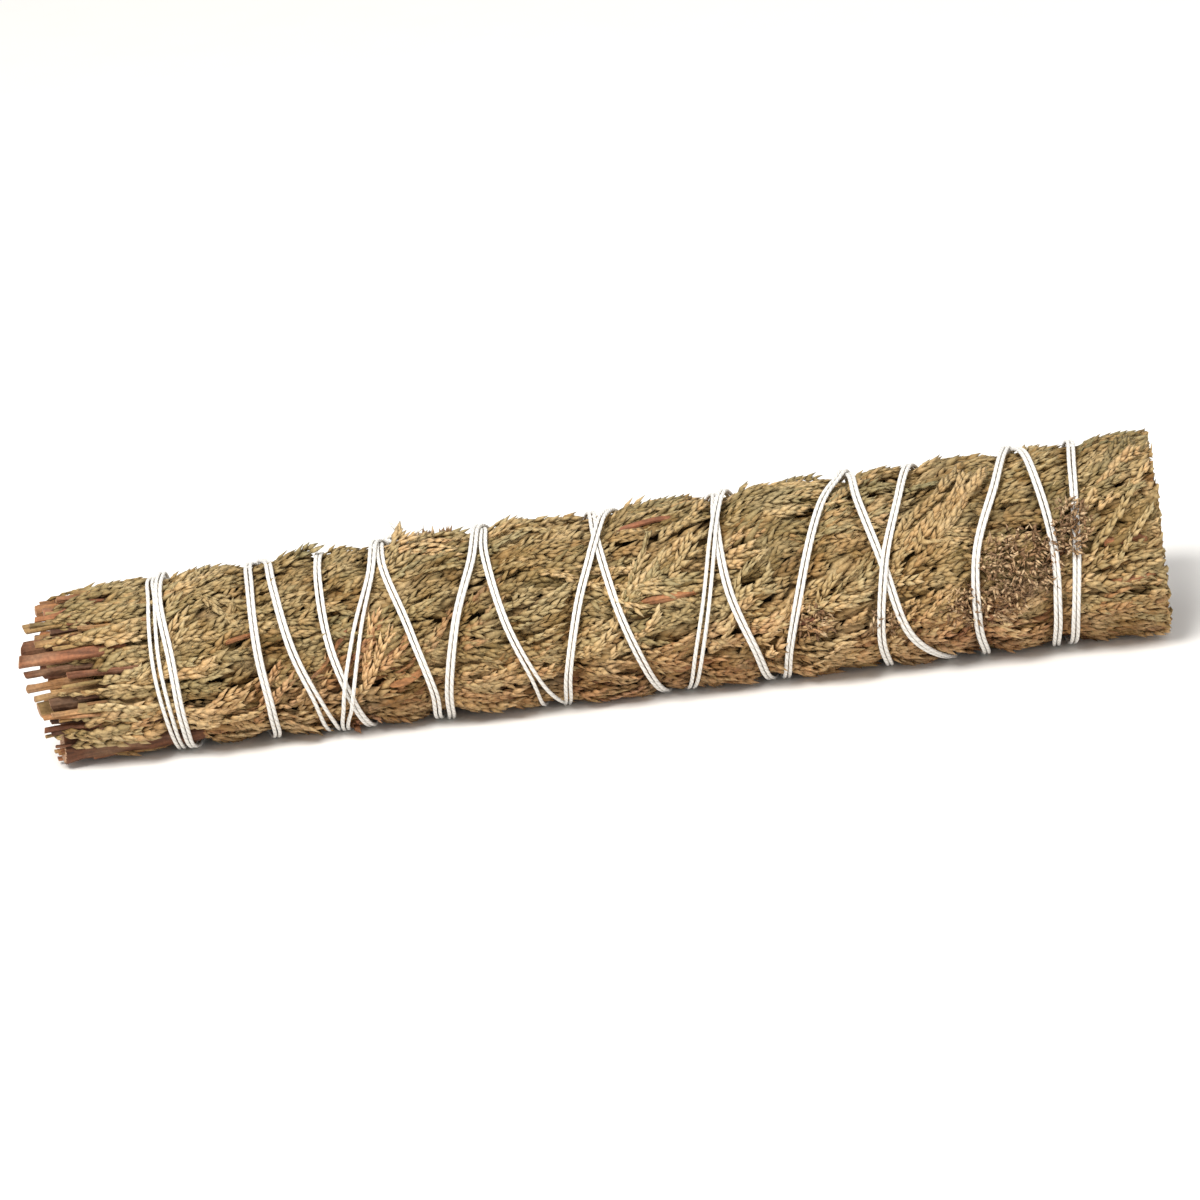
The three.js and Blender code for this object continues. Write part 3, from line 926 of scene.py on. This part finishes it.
scraps = [
    dict(node="leaf_scrap_1", name="loose_scrap_1", x=-60.5, angle=82, lay=8, length=6, lift=0.3,
         tone=0.12),
    dict(node="leaf_scrap_2", name="loose_scrap_2", x=-41.0, angle=90, lay=10, length=6, lift=0.9,
         tone=0.50),
]


def buildScrap(scrap):
    heap = Heap()
    rows = sprayRows(scrap["x"], scrap["angle"] * degree, scrap["lay"], scrap["length"], scrap["tone"],
                     0.2, -scrap["lift"] - 0.4)
    rows += sprayRows(scrap["x"] + 2, (scrap["angle"] + 4) * degree, scrap["lay"] + 35,
                      scrap["length"] * 0.6,
                      scrap["tone"], -0.1, -scrap["lift"] - 1.4)
    growShoots(heap, shootTable(rows), grooved=False)
    piece = heap.piece(scrap["name"], leafMaterials)
    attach(piece, "root")
    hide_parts(scrap["node"])


# Materials.

def linear(red, green, blue):
    channels = []
    for value in (red, green, blue):
        value = value / 255
        channels.append(value / 12.92 if value <= 0.04045 else ((value + 0.055) / 1.055) ** 2.4)
    return (*channels, 1.0)


def newMaterial(name, roughness, specular):
    material = bpy.data.materials.new(name)
    material.use_nodes = True
    shader = material.node_tree.nodes["Principled BSDF"]
    shader.inputs["Roughness"].default_value = roughness
    shader.inputs["Specular IOR Level"].default_value = specular
    return material, material.node_tree, shader


def addNode(tree, kind, **settings):
    node = tree.nodes.new(kind)
    for key, value in settings.items():
        setattr(node, key, value)
    return node


def rampNode(tree, stops):
    node = addNode(tree, "ShaderNodeValToRGB")
    while len(node.color_ramp.elements) < len(stops):
        node.color_ramp.elements.new(0.5)
    for element, (position, colour) in zip(node.color_ramp.elements, stops):
        element.position = position
        element.color = colour
    return node


def noiseNode(tree, scale, detail=3.0, stretch=None):
    place = addNode(tree, "ShaderNodeTexCoord")
    noise = addNode(tree, "ShaderNodeTexNoise")
    noise.inputs["Scale"].default_value = scale
    noise.inputs["Detail"].default_value = detail
    if stretch:
        mapping = addNode(tree, "ShaderNodeMapping")
        mapping.inputs["Scale"].default_value = stretch
        tree.links.new(place.outputs["Object"], mapping.inputs["Vector"])
        tree.links.new(mapping.outputs["Vector"], noise.inputs["Vector"])
    else:
        tree.links.new(place.outputs["Object"], noise.inputs["Vector"])
    return noise


def mixNode(tree, blend, factor, first, second):
    node = addNode(tree, "ShaderNodeMix", data_type="RGBA", blend_type=blend)
    for socket, value in ((node.inputs[0], factor), (node.inputs[6], first), (node.inputs[7], second)):
        if isinstance(value, bpy.types.NodeSocket):
            tree.links.new(value, socket)
        else:
            socket.default_value = value
    return node.outputs[2]


def driedGroup():
    # Shared by leaves, bark and wood: dust and blotches over a colour, and a fine wrinkled bump
    group = bpy.data.node_groups.new("driedSurface", "ShaderNodeTree")
    group.interface.new_socket("Colour", in_out="INPUT", socket_type="NodeSocketColor")
    group.interface.new_socket("Dust", in_out="INPUT", socket_type="NodeSocketColor")
    group.interface.new_socket("Amount", in_out="INPUT", socket_type="NodeSocketFloat")
    group.interface.new_socket("Wrinkle", in_out="INPUT", socket_type="NodeSocketFloat")
    group.interface.new_socket("Colour", in_out="OUTPUT", socket_type="NodeSocketColor")
    group.interface.new_socket("Normal", in_out="OUTPUT", socket_type="NodeSocketVector")
    group.interface.new_socket("Roughness", in_out="OUTPUT", socket_type="NodeSocketFloat")
    entry = addNode(group, "NodeGroupInput")
    leave = addNode(group, "NodeGroupOutput")
    broad = noiseNode(group, 140, 4)
    fine = noiseNode(group, 1500, 3)
    spread = addNode(group, "ShaderNodeMapRange")
    spread.inputs["From Min"].default_value = 0.46
    spread.inputs["From Max"].default_value = 0.68
    group.links.new(broad.outputs["Fac"], spread.inputs["Value"])
    weight = addNode(group, "ShaderNodeMath", operation="MULTIPLY")
    group.links.new(spread.outputs["Result"], weight.inputs[0])
    group.links.new(entry.outputs["Amount"], weight.inputs[1])
    dusty = mixNode(group, "MIX", weight.outputs[0], entry.outputs["Colour"], entry.outputs["Dust"])
    speck = rampNode(group, [(0.3, (0.72, 0.70, 0.66, 1)), (0.7, (1.16, 1.14, 1.1, 1))])
    group.links.new(fine.outputs["Fac"], speck.inputs["Fac"])
    coloured = mixNode(group, "MULTIPLY", 1.0, dusty, speck.outputs["Color"])
    group.links.new(coloured, leave.inputs["Colour"])
    bump = addNode(group, "ShaderNodeBump")
    bump.inputs["Distance"].default_value = 0.15 * mm
    group.links.new(entry.outputs["Wrinkle"], bump.inputs["Strength"])
    group.links.new(fine.outputs["Fac"], bump.inputs["Height"])
    group.links.new(bump.outputs["Normal"], leave.inputs["Normal"])
    rough = addNode(group, "ShaderNodeMapRange")
    rough.inputs["To Min"].default_value = 0.55
    rough.inputs["To Max"].default_value = 0.85
    group.links.new(fine.outputs["Fac"], rough.inputs["Value"])
    group.links.new(rough.outputs["Result"], leave.inputs["Roughness"])
    return group


driedSurface = driedGroup()


def finishDried(tree, shader, colour, dust, amount, wrinkle):
    node = addNode(tree, "ShaderNodeGroup", node_tree=driedSurface)
    tree.links.new(colour, node.inputs["Colour"])
    node.inputs["Dust"].default_value = dust
    node.inputs["Amount"].default_value = amount
    node.inputs["Wrinkle"].default_value = wrinkle
    tree.links.new(node.outputs["Colour"], shader.inputs["Base Color"])
    tree.links.new(node.outputs["Normal"], shader.inputs["Normal"])
    tree.links.new(node.outputs["Roughness"], shader.inputs["Roughness"])


def toneNode(tree):
    # Values kept on each point: tone, a random number, length along the scale, and a second random number,
    # which on leaves is mixed with painted shade that darkens the deeper scales
    tone = addNode(tree, "ShaderNodeAttribute", attribute_name="tone")
    split = addNode(tree, "ShaderNodeSeparateColor")
    tree.links.new(tone.outputs["Color"], split.inputs["Color"])
    return split, tone.outputs["Alpha"]


def scaleLeafMaterial():
    material, tree, shader = newMaterial("driedScaleLeaf", 0.7, 0.25)
    split, shade = toneNode(tree)
    shift = addNode(tree, "ShaderNodeMath", operation="MULTIPLY_ADD")
    shift.inputs[1].default_value = 0.16
    tree.links.new(split.outputs["Green"], shift.inputs[0])
    tree.links.new(split.outputs["Red"], shift.inputs[2])
    hue = rampNode(tree, [(0.06, linear(146, 140, 108)), (0.30, linear(168, 153, 114)),
                          (0.48, linear(188, 166, 124)),
                          (0.66, linear(200, 170, 126)), (0.84, linear(178, 138, 98)),
                          (1.0, linear(150, 106, 78))])
    tree.links.new(shift.outputs[0], hue.inputs["Fac"])
    # Along each scale: dark at the base, which is painted shade where it lies under the scale before, and
    # paler towards the tip
    ends = rampNode(tree, [(0.0, (0.28, 0.22, 0.14, 1)), (0.45, (0.84, 0.80, 0.73, 1)),
                           (0.85, (1.06, 1.09, 1.16, 1)),
                           (1.0, (1.12, 1.13, 1.16, 1))])
    tree.links.new(split.outputs["Blue"], ends.inputs["Fac"])
    hueWithBaseShade = mixNode(tree, "MULTIPLY", 1.0, hue.outputs["Color"], ends.outputs["Color"])
    # Brightness of each scale from the fourth tone value: partly random, partly painted shade that darkens
    # the deeper scales and lightens the outermost
    each = rampNode(tree, [(0.0, (0.24, 0.155, 0.06, 1)), (0.3, (0.60, 0.51, 0.36, 1)),
                           (0.62, (0.97, 0.94, 0.88, 1)),
                           (1.0, (1.26, 1.26, 1.30, 1))])
    tree.links.new(shade, each.inputs["Fac"])
    variedAndDepthShaded = mixNode(tree, "MULTIPLY", 1.0, hueWithBaseShade, each.outputs["Color"])
    finishDried(tree, shader, variedAndDepthShaded, linear(196, 178, 140), 0.35, 0.5)
    return material


def packedLeafShadowMaterial():
    material, tree, shader = newMaterial("packedLeafShadow", 0.9, 0.1)
    # Dark brown all through: painted shadow of the leaves packed inside the bundle
    noise = noiseNode(tree, 420, 4, (0.35, 1, 1))
    hue = rampNode(tree, [(0.35, linear(36, 24, 12)), (0.65, linear(84, 66, 38))])
    tree.links.new(noise.outputs["Fac"], hue.inputs["Fac"])
    finishDried(tree, shader, hue.outputs["Color"], linear(90, 70, 44), 0.3, 0.8)
    return material


def barkMaterial():
    material, tree, shader = newMaterial("flakyTwigBark", 0.75, 0.25)
    split = toneNode(tree)[0]
    hue = rampNode(tree, [(0.0, linear(130, 114, 76)), (0.2, linear(158, 126, 84)),
                          (0.38, linear(146, 100, 66)),
                          (0.56, linear(130, 86, 64)), (0.78, linear(100, 64, 44)),
                          (1.0, linear(66, 44, 32))])
    tree.links.new(split.outputs["Red"], hue.inputs["Fac"])
    streak = noiseNode(tree, 900, 4, (0.12, 1, 1))
    bands = rampNode(tree, [(0.36, (0.55, 0.50, 0.46, 1)), (0.5, (0.95, 0.93, 0.9, 1)),
                            (0.64, (1.3, 1.24, 1.18, 1))])
    tree.links.new(streak.outputs["Fac"], bands.inputs["Fac"])
    streaked = mixNode(tree, "MULTIPLY", 1.0, hue.outputs["Color"], bands.outputs["Color"])
    finishDried(tree, shader, streaked, linear(164, 132, 104), 0.4, 1.0)
    return material


def driedFlowerMaterial():
    material, tree, shader = newMaterial("driedFlowerScale", 0.8, 0.2)
    split = toneNode(tree)[0]
    hue = rampNode(tree, [(0.0, linear(104, 78, 56)), (0.4, linear(142, 110, 80)),
                          (0.75, linear(182, 152, 116)),
                          (1.0, linear(212, 186, 150))])
    tree.links.new(split.outputs["Red"], hue.inputs["Fac"])
    finishDried(tree, shader, hue.outputs["Color"], linear(150, 128, 104), 0.5, 0.8)
    return material


def cutWoodMaterial():
    material, tree, shader = newMaterial("cutTwigWood", 0.8, 0.2)
    noise = noiseNode(tree, 1200, 3)
    hue = rampNode(tree, [(0.3, linear(150, 108, 84)), (0.7, linear(206, 170, 138))])
    tree.links.new(noise.outputs["Fac"], hue.inputs["Fac"])
    finishDried(tree, shader, hue.outputs["Color"], linear(120, 84, 62), 0.5, 0.7)
    return material


def cottonMaterial():
    # Twisted plies: a wave that winds round the strand as it runs along it
    material, tree, shader = newMaterial("cottonStrand", 0.85, 0.2)
    shader.inputs["Sheen Weight"].default_value = 0.35
    shader.inputs["Sheen Roughness"].default_value = 0.5
    split = toneNode(tree)[0]
    turn = addNode(tree, "ShaderNodeMath", operation="ARCTAN2")
    tree.links.new(split.outputs["Blue"], turn.inputs[0])
    tree.links.new(split.outputs["Green"], turn.inputs[1])
    wind = addNode(tree, "ShaderNodeMath", operation="MULTIPLY_ADD")
    wind.inputs[1].default_value = 3.4
    tree.links.new(split.outputs["Red"], wind.inputs[0])
    double = addNode(tree, "ShaderNodeMath", operation="MULTIPLY")
    double.inputs[1].default_value = 2.0
    tree.links.new(turn.outputs[0], double.inputs[0])
    tree.links.new(double.outputs[0], wind.inputs[2])
    wave = addNode(tree, "ShaderNodeMath", operation="SINE")
    tree.links.new(wind.outputs[0], wave.inputs[0])
    fibre = noiseNode(tree, 2600, 3)
    height = addNode(tree, "ShaderNodeMath", operation="MULTIPLY_ADD")
    height.inputs[1].default_value = 0.8
    tree.links.new(wave.outputs[0], height.inputs[0])
    tree.links.new(fibre.outputs["Fac"], height.inputs[2])
    # The colour follows the ply height and fibre noise: the grooves between the plies are painted darker as
    # shade
    hue = rampNode(tree, [(0.0, linear(196, 191, 183)), (0.5, linear(234, 231, 225))])
    spread = addNode(tree, "ShaderNodeMapRange")
    spread.inputs["From Min"].default_value = -0.5
    spread.inputs["From Max"].default_value = 1.3
    tree.links.new(height.outputs[0], spread.inputs["Value"])
    tree.links.new(spread.outputs["Result"], hue.inputs["Fac"])
    tree.links.new(hue.outputs["Color"], shader.inputs["Base Color"])
    bump = addNode(tree, "ShaderNodeBump")
    bump.inputs["Strength"].default_value = 0.6
    bump.inputs["Distance"].default_value = 0.10 * mm
    tree.links.new(height.outputs[0], bump.inputs["Height"])
    tree.links.new(bump.outputs["Normal"], shader.inputs["Normal"])
    return material


leafMaterials = [scaleLeafMaterial(), packedLeafShadowMaterial(), barkMaterial(), cutWoodMaterial(),
                 driedFlowerMaterial()]
threadMaterial = cottonMaterial()

# Every piece is built here.

for number in range(bundle["outerSprigs"]):
    buildOuterSprig(number)
print("outer sprigs done")
for number in range(bundle["innerSprigs"]):
    buildInnerSprig(number)
buildMiddleBranch()
print("inner sprigs and middle branch done")
buildThread()
for scrap in scraps:
    buildScrap(scrap)
print("thread and scraps done")


# Floor, light and camera.

stage = dict(
    floorSize=6.0,
    floorColour=(0.88, 0.86, 0.83, 1),
    worldColour=(1.0, 1.0, 1.0, 1),
    worldStrength=0.6,
    keyPower=25.5,
    keyPlace=(-0.35, -0.75, 1.25),
    keySize=0.55,
    fillPower=3.0,
)


def addFloor():
    deselectAll()
    bpy.ops.mesh.primitive_plane_add(size=stage["floorSize"])
    floor = bpy.context.object
    floor.name = "floor"
    material, tree, shader = newMaterial("palePaper", 0.9, 0.1)
    noise = noiseNode(tree, 60, 4)
    hue = rampNode(tree, [(0.0, stage["floorColour"]), (1.0, (0.9, 0.885, 0.86, 1))])
    tree.links.new(noise.outputs["Fac"], hue.inputs["Fac"])
    tree.links.new(hue.outputs["Color"], shader.inputs["Base Color"])
    floor.data.materials.append(material)


def addLight(name, place, power, size, colour):
    light = bpy.data.lights.new(name, "AREA")
    light.energy = power
    light.size = size
    light.color = colour
    lamp = bpy.data.objects.new(name, light)
    lamp.location = place
    aim = Vector((0, 0, 0.02)) - Vector(place)
    lamp.rotation_euler = aim.to_track_quat("-Z", "Y").to_euler()
    bpy.context.scene.collection.objects.link(lamp)


def addWorld():
    world = bpy.data.worlds.new("studio")
    world.use_nodes = True
    background = world.node_tree.nodes["Background"]
    background.inputs["Color"].default_value = stage["worldColour"]
    background.inputs["Strength"].default_value = stage["worldStrength"]
    bpy.context.scene.world = world


view = dict(distance=1240 * mm, azimuth=2.3, elevation=22, roll=7.7, frameWidth=236.4 * mm,
            target=(0.5 * mm, 0, 17.6 * mm), offset=(0.8 * mm, 0.8 * mm))


def addCamera():
    # Looks down on the stick from the front, turned so that the tip end rises to the right
    azimuth, elevation, roll = (view[key] * degree for key in ("azimuth", "elevation", "roll"))
    back = Vector((math.sin(azimuth) * math.cos(elevation), -math.cos(azimuth) * math.cos(elevation),
                   math.sin(elevation)))
    right = Vector((0, 0, 1)).cross(back).normalized()
    up = back.cross(right)
    rolledRight = right * math.cos(roll) - up * math.sin(roll)
    rolledUp = right * math.sin(roll) + up * math.cos(roll)
    target = Vector(view["target"]) + rolledRight * view["offset"][0] + rolledUp * view["offset"][1]
    camera = bpy.data.cameras.new("camera")
    camera.sensor_width = 36
    camera.lens = 36 * view["distance"] / view["frameWidth"]
    camera.clip_start = 0.01
    eye = bpy.data.objects.new("camera", camera)
    bpy.context.scene.collection.objects.link(eye)
    place = target + back * view["distance"]
    rows = [(rolledRight[row], rolledUp[row], back[row], place[row]) for row in range(3)]
    eye.matrix_world = Matrix(rows + [(0, 0, 0, 1)])
    bpy.context.scene.camera = eye


addFloor()
addLight("keyLight", stage["keyPlace"], stage["keyPower"], stage["keySize"], (1.0, 0.985, 0.96))
addLight("fillLight", (0.9, -0.5, 0.5), stage["fillPower"], 0.9, (1.0, 0.97, 0.93))
addWorld()
addCamera()
bpy.context.scene.view_settings.view_transform = "Standard"
